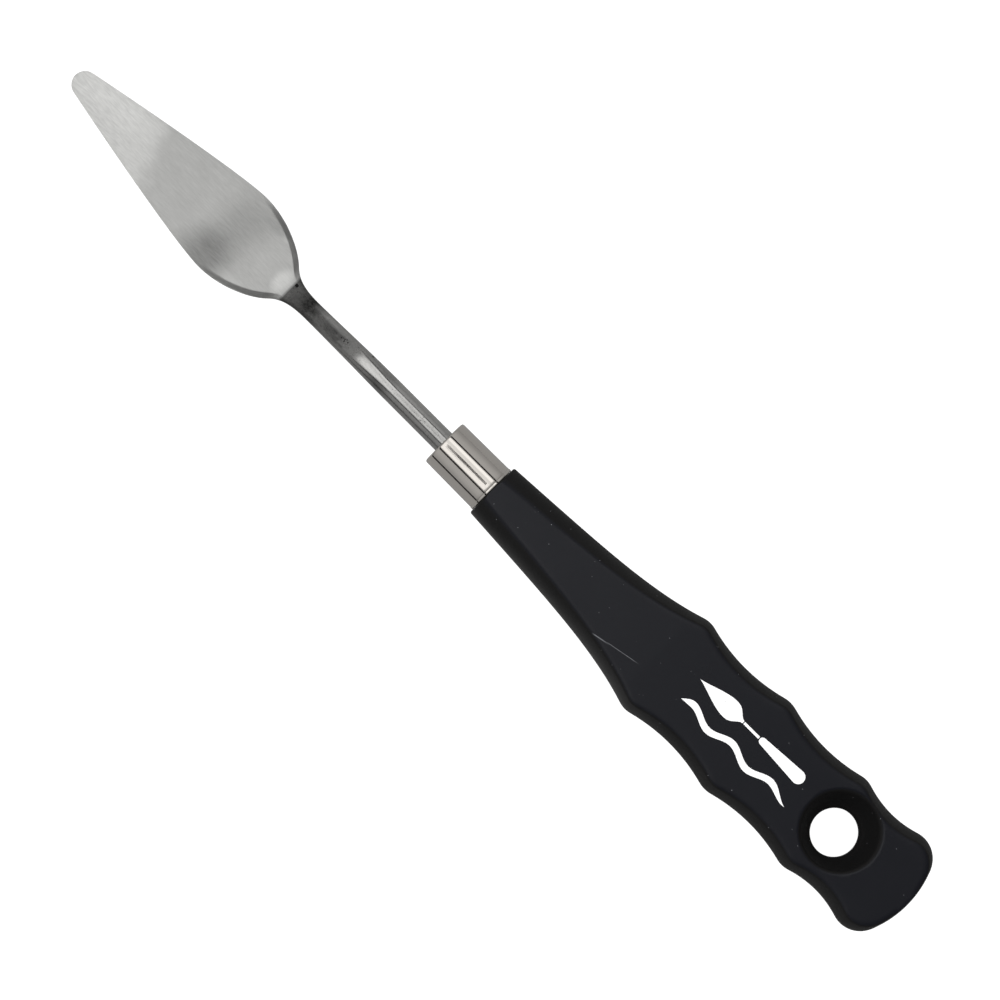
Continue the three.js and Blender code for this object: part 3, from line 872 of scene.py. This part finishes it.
def ferrule_nickel():
    """Bright nickel plate with faint handling marks."""
    made = new_material("ferrule_nickel")
    tree = made.node_tree
    place = place_nodes(tree)[0]
    smear = stretched_noise(tree, place, SMEAR_GRAIN, detail=3)
    hair = stretched_noise(tree, place, HAIR_GRAIN, detail=2)
    tone = plus(tree, NICKEL_TONE, centred(tree, hair), HAIR_DEPTH)
    tone = plus(tree, tone, centred(tree, smear), SMEAR_DEPTH)
    return finish_material(
        made,
        {
            "Base Color": tinted(tree, NICKEL_COLOUR, tone),
            "Metallic": 1.0,
            "Roughness": plus(tree, NICKEL_ROUGHNESS, smear, NICKEL_ROUGHNESS_SMEAR),
            "Normal": bump(tree, hair, *HAIR_BUMP),
        },
    )


SCRATCH_CORE, SCRATCH_FADE_IN, SCRATCH_FADE_OUT = 0.3, 1.0, 2.0


def scratch(tree, s, y, start, end, half_width):
    """1 on a thin straight line between two (s, y) points, fading at both ends."""
    run = (end[0] - start[0], end[1] - start[1])
    length = math.hypot(*run)
    ds = maths(tree, "SUBTRACT", s, start[0])
    dy = maths(tree, "SUBTRACT", y, start[1])
    along = plus(tree, times(tree, ds, run[0] / length), dy, run[1] / length)
    off = plus(tree, times(tree, ds, run[1] / length), dy, -run[0] / length)
    core = half_width * SCRATCH_CORE
    line = step_up(tree, maths(tree, "ABSOLUTE", off), core, half_width, 1.0, 0.0)
    fade_in = step_up(tree, along, 0, SCRATCH_FADE_IN)
    fade_out = step_up(tree, along, length - SCRATCH_FADE_OUT, length, 1.0, 0.0)
    return times(tree, line, times(tree, fade_in, fade_out))


# The faces' black is slightly blue and the sides' neutral: painted tints chosen by which way the surface
# faces. Dust and scratches are grey
FACE_BLACK, SIDE_BLACK = (0.0028, 0.0032, 0.0055, 1), (0.0034, 0.0032, 0.0032, 1)
DUST_GREY, DUST_SHARE, SCRATCH_SHARE = (0.32, 0.33, 0.35, 1), 0.9, 0.35
MOULD_GRAIN, CLOUD_GRAIN = (7.0, 7.0, 7.0), (0.16, 0.16, 0.16)
DUST_GRAIN, DUST_PATCHES = (1.1, 1.1, 1.1), (0.5, 0.5, 0.5)
DUST_SIZE, DUST_WHERE = (0.04, 0.08, 1.0, 0.0), (0.585, 0.62, 0.0, 1.0)
SIDE_FACING = (0.80, 0.97, 1.0, 0.0)  # from the size of the normal's z
SCRATCHES = (((139.1, -5.7), (143.2, -4.9), 0.14), ((142.0, -5.0), (149.5, -3.6), 0.07))
PLASTIC_IOR, PLASTIC_ROUGHNESS = 1.36, 0.21
CLOUD_ROUGHNESS, MOULD_ROUGHNESS, SIDE_ROUGHNESS = 0.18, 0.05, 0.30
MOULD_BUMP, MARK_BUMP = (0.12, 0.00003), (0.3, 0.00005)
SHINY_ACROSS, SHINY_ALONG = (-5.0, -3.0, 1.0, 0.0), (150.0, 162.0, 0.2, 0.0)  # worn by the hand


def handle_plastic():
    """Satin black moulded plastic: fine grain, handling shine, a few scratches and dust specks."""
    made = new_material("handle_plastic")
    tree = made.node_tree
    place, s, y = place_nodes(tree)
    grain = stretched_noise(tree, place, MOULD_GRAIN, detail=3)
    cloud = stretched_noise(tree, place, CLOUD_GRAIN, detail=4)
    dust = scattered_cells(tree, place, DUST_GRAIN)
    dusty = stretched_noise(tree, place, DUST_PATCHES, detail=1)
    specks = times(tree, step_up(tree, dust, *DUST_SIZE), step_up(tree, dusty, *DUST_WHERE))
    normals = node(tree, "ShaderNodeTexCoord").outputs["Normal"]
    facing = node(tree, "ShaderNodeSeparateXYZ", {0: normals}).outputs[2]
    side = step_up(tree, maths(tree, "ABSOLUTE", facing), *SIDE_FACING)
    marks = maths(tree, "MAXIMUM", *(scratch(tree, s, y, *line) for line in SCRATCHES))

    pale = times(tree, marks, SCRATCH_SHARE)
    pale = maths(tree, "MAXIMUM", times(tree, specks, DUST_SHARE), pale)
    # painted tint by facing
    black = blended(tree, side, FACE_BLACK, SIDE_BLACK)
    shiny = times(tree, step_up(tree, y, *SHINY_ACROSS), step_up(tree, s, *SHINY_ALONG))
    rough = plus(tree, PLASTIC_ROUGHNESS, cloud, CLOUD_ROUGHNESS)
    rough = plus(tree, rough, grain, MOULD_ROUGHNESS)
    rough = plus(tree, rough, side, maths(tree, "SUBTRACT", SIDE_ROUGHNESS, shiny))
    normal = bump(tree, grain, *MOULD_BUMP)
    normal = bump(tree, times(tree, marks, -1.0), *MARK_BUMP, normal)
    return finish_material(
        made,
        {
            "Base Color": blended(tree, pale, black, DUST_GREY),
            "Roughness": rough,
            "IOR": PLASTIC_IOR,
            "Normal": normal,
        },
    )


INK_COLOUR, INK_ROUGHNESS = (0.93, 0.93, 0.93), 0.5
INK_GRAIN, INK_THIN = (2.5, 2.5, 2.5), (0.60, 0.72, 1.0, 0.72)


def white_ink():
    """Pad printed white, a little thin in places."""
    made = new_material("white_ink")
    tree = made.node_tree
    place = place_nodes(tree)[0]
    thin = step_up(tree, stretched_noise(tree, place, INK_GRAIN, detail=4), *INK_THIN)
    return finish_material(
        made,
        {"Base Color": tinted(tree, INK_COLOUR, thin), "Roughness": INK_ROUGHNESS},
    )


# ---------------------------------------------------------------- studio


LIGHT_HEIGHT = 1.0
SOFTBOX_X = (-0.60, 0.07)
# Across the knife, from and to in degrees, and radiance
SOFTBOXES = (
    (-26.5, 6.0, 0.81),
    (6.0, 19.0, 0.53),
    (19.0, 32.0, 0.90),
)
# Black cards: across the knife, from and to in degrees, and from and to along X in metres
CARDS_FROM, CARDS_TO = -1.5, 1.0
FLAGS = (
    (-37.0, -30.0, CARDS_FROM, CARDS_TO),
    (35.0, 41.5, CARDS_FROM, CARDS_TO),
    (-6.5, 4.5, -0.053, -0.018),  # this and the next draw the line and hook on the ferrule
    (-13.0, 2.0, -0.053, -0.046),
)
FLAG_DROP = 0.02  # below the softboxes
SKIRTING_Y, SKIRTING_HEIGHT = -1.5, 0.21
CARD_BLACK = (0.01, 0.01, 0.01, 1)
HORIZON, ZENITH, ZENITH_AT = 0.34, 0.52, 0.7
DIM_FROM, DIM_TO, DIM = 0.0, 0.26, 0.4  # the walls darken towards the butt
FILL_SIZE, FILL_HEIGHT, FILL_ENERGY = 2.4, 1.6, 34.0


def softbox(name, low_deg, high_deg, radiance):
    low, high = (LIGHT_HEIGHT * math.tan(math.radians(a)) for a in (low_deg, high_deg))
    light = bpy.data.lights.new(name, "AREA")
    light.shape = "RECTANGLE"
    light.size = SOFTBOX_X[1] - SOFTBOX_X[0]
    light.size_y = high - low
    light.energy = radiance * math.pi * light.size * light.size_y
    made = bpy.data.objects.new(name, light)
    made.location = (sum(SOFTBOX_X) / 2, (low + high) / 2, LIGHT_HEIGHT)
    bpy.context.scene.collection.objects.link(made)


def fill_light():
    """Broad light that brightens matt surfaces and leaves no reflection of its own."""
    light = bpy.data.lights.new("fill", "AREA")
    light.size = FILL_SIZE
    light.energy = FILL_ENERGY
    made = bpy.data.objects.new("fill", light)
    made.location = (0, 0, FILL_HEIGHT)
    made.visible_glossy = False
    bpy.context.scene.collection.objects.link(made)


def black_card(name, corners):
    """A flat black card, seen only in reflections."""
    data = bpy.data.meshes.new(name)
    data.from_pydata(corners, [], [(0, 1, 2, 3)])
    card = new_material(name)
    data.materials.append(finish_material(card, {"Base Color": CARD_BLACK, "Roughness": 1.0}))
    made = bpy.data.objects.new(name, data)
    made.visible_camera = False
    made.visible_diffuse = False
    made.visible_shadow = False
    bpy.context.scene.collection.objects.link(made)


def flag(name, low_deg, high_deg, start_x, end_x):
    """A long black card beside a softbox, or across one."""
    z = LIGHT_HEIGHT - FLAG_DROP
    low, high = (z * math.tan(math.radians(a)) for a in (low_deg, high_deg))
    black_card(name, [(start_x, low, z), (end_x, low, z), (end_x, high, z), (start_x, high, z)])


def surround():
    """Even grey walls, dimmer towards the floor and the butt."""
    world = bpy.data.worlds.new("surround")
    world.use_nodes = True
    tree = world.node_tree
    direction = node(tree, "ShaderNodeTexCoord").outputs["Generated"]
    parts = node(tree, "ShaderNodeSeparateXYZ", {0: direction}).outputs
    upward = step_up(tree, parts[2], 0.0, ZENITH_AT, HORIZON, ZENITH)
    strength = maths(tree, "MULTIPLY", upward, step_up(tree, parts[0], DIM_FROM, DIM_TO, 1.0, DIM))
    background = tree.nodes["Background"]
    background.inputs["Color"].default_value = (1, 1, 1, 1)
    tree.links.new(strength, background.inputs["Strength"])
    bpy.context.scene.world = world


FLOOR_REACH, FLOOR_Z = 6.0, -0.0002
FLOOR_TONE, FLOOR_GLOW = 0.30, 0.92


def floor():
    """Pale table whose own shadows are washed out for the camera by a glow."""
    data = bpy.data.meshes.new("floor")
    signs = ((-1, -1), (1, -1), (1, 1), (-1, 1))
    corners = [(x * FLOOR_REACH, y * FLOOR_REACH, FLOOR_Z) for x, y in signs]
    data.from_pydata(corners, [], [(0, 1, 2, 3)])
    made = bpy.data.objects.new("floor", data)
    pale = new_material("pale_floor")
    tree = pale.node_tree
    grey = (FLOOR_TONE, FLOOR_TONE, FLOOR_TONE, 1)
    diffuse = node(tree, "ShaderNodeBsdfDiffuse", {"Color": grey})
    seen = node(tree, "ShaderNodeLightPath").outputs["Is Camera Ray"]
    strength = maths(tree, "MULTIPLY", seen, FLOOR_GLOW)
    glow = node(tree, "ShaderNodeEmission", {"Color": (1, 1, 1, 1), "Strength": strength})
    total = node(tree, "ShaderNodeAddShader", {0: diffuse.outputs[0], 1: glow.outputs[0]})
    node(tree, "ShaderNodeOutputMaterial", {"Surface": total.outputs[0]})
    data.materials.append(pale)
    bpy.context.scene.collection.objects.link(made)


def studio():
    for i, (low, high, radiance) in enumerate(SOFTBOXES):
        softbox(f"softbox_{i + 1}", low, high, radiance)
    for i, card in enumerate(FLAGS):
        flag(f"flag_{i + 1}", *card)
    outline = ((CARDS_FROM, 0), (CARDS_TO, 0), (CARDS_TO, SKIRTING_HEIGHT), (CARDS_FROM, SKIRTING_HEIGHT))
    black_card("skirting", [(x, SKIRTING_Y, z) for x, z in outline])
    fill_light()
    surround()
    floor()


CAMERA_DISTANCE, SENSOR_WIDTH = 0.65, 36.0  # metres, and millimetres
CAMERA_TILT = 2.0  # degrees, towards -Y
FRAME_WIDTH = 0.1826  # what the frame shows at the knife
LOOK_AT = Vector((0.0030, -0.0002, 0.005))


def camera():
    """Looks almost straight down, with the knife along the frame's diagonal, tip at upper left."""
    data = bpy.data.cameras.new("camera")
    data.sensor_width = SENSOR_WIDTH
    data.lens = data.sensor_width * CAMERA_DISTANCE / FRAME_WIDTH
    made = bpy.data.objects.new("camera", data)
    tilt = math.radians(CAMERA_TILT)
    back = Vector((0, -math.sin(tilt), math.cos(tilt)))
    up = Vector((-1, 1, 0)).normalized()
    right = up.cross(back).normalized()
    up = back.cross(right)
    turn = Matrix((right, up, back)).transposed().to_4x4()
    made.matrix_world = Matrix.Translation(LOOK_AT + back * CAMERA_DISTANCE) @ turn
    bpy.context.scene.collection.objects.link(made)
    bpy.context.scene.camera = made


# ---------------------------------------------------------------- assembly


def flexes(piece):
    start, end = spot([(FLEX_FROM, 0, 0), (FLEX_TO, 0, 0)])
    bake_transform(piece)


bpy.context.scene.view_settings.view_transform = "Standard"
camera()
studio()

blade = blade_mesh()
blade.data.materials.append(blade_steel())
flexes(blade)
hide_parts("blade")

shank = shank_mesh()
shank.data.materials.append(shank_steel())
flexes(shank)
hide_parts("shank")

ferrule = ferrule_mesh()
ferrule.data.materials.append(ferrule_nickel())
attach(ferrule, "handle")
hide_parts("ferrule")

handle = handle_mesh()
handle.data.materials.clear()
handle.data.materials.append(handle_plastic())
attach(handle, "handle")
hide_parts("handle")

mark = flat_shape("grip_mark", knife_pictogram() + paint_stroke())
mark.data.materials.append(white_ink())
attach(mark, "handle")
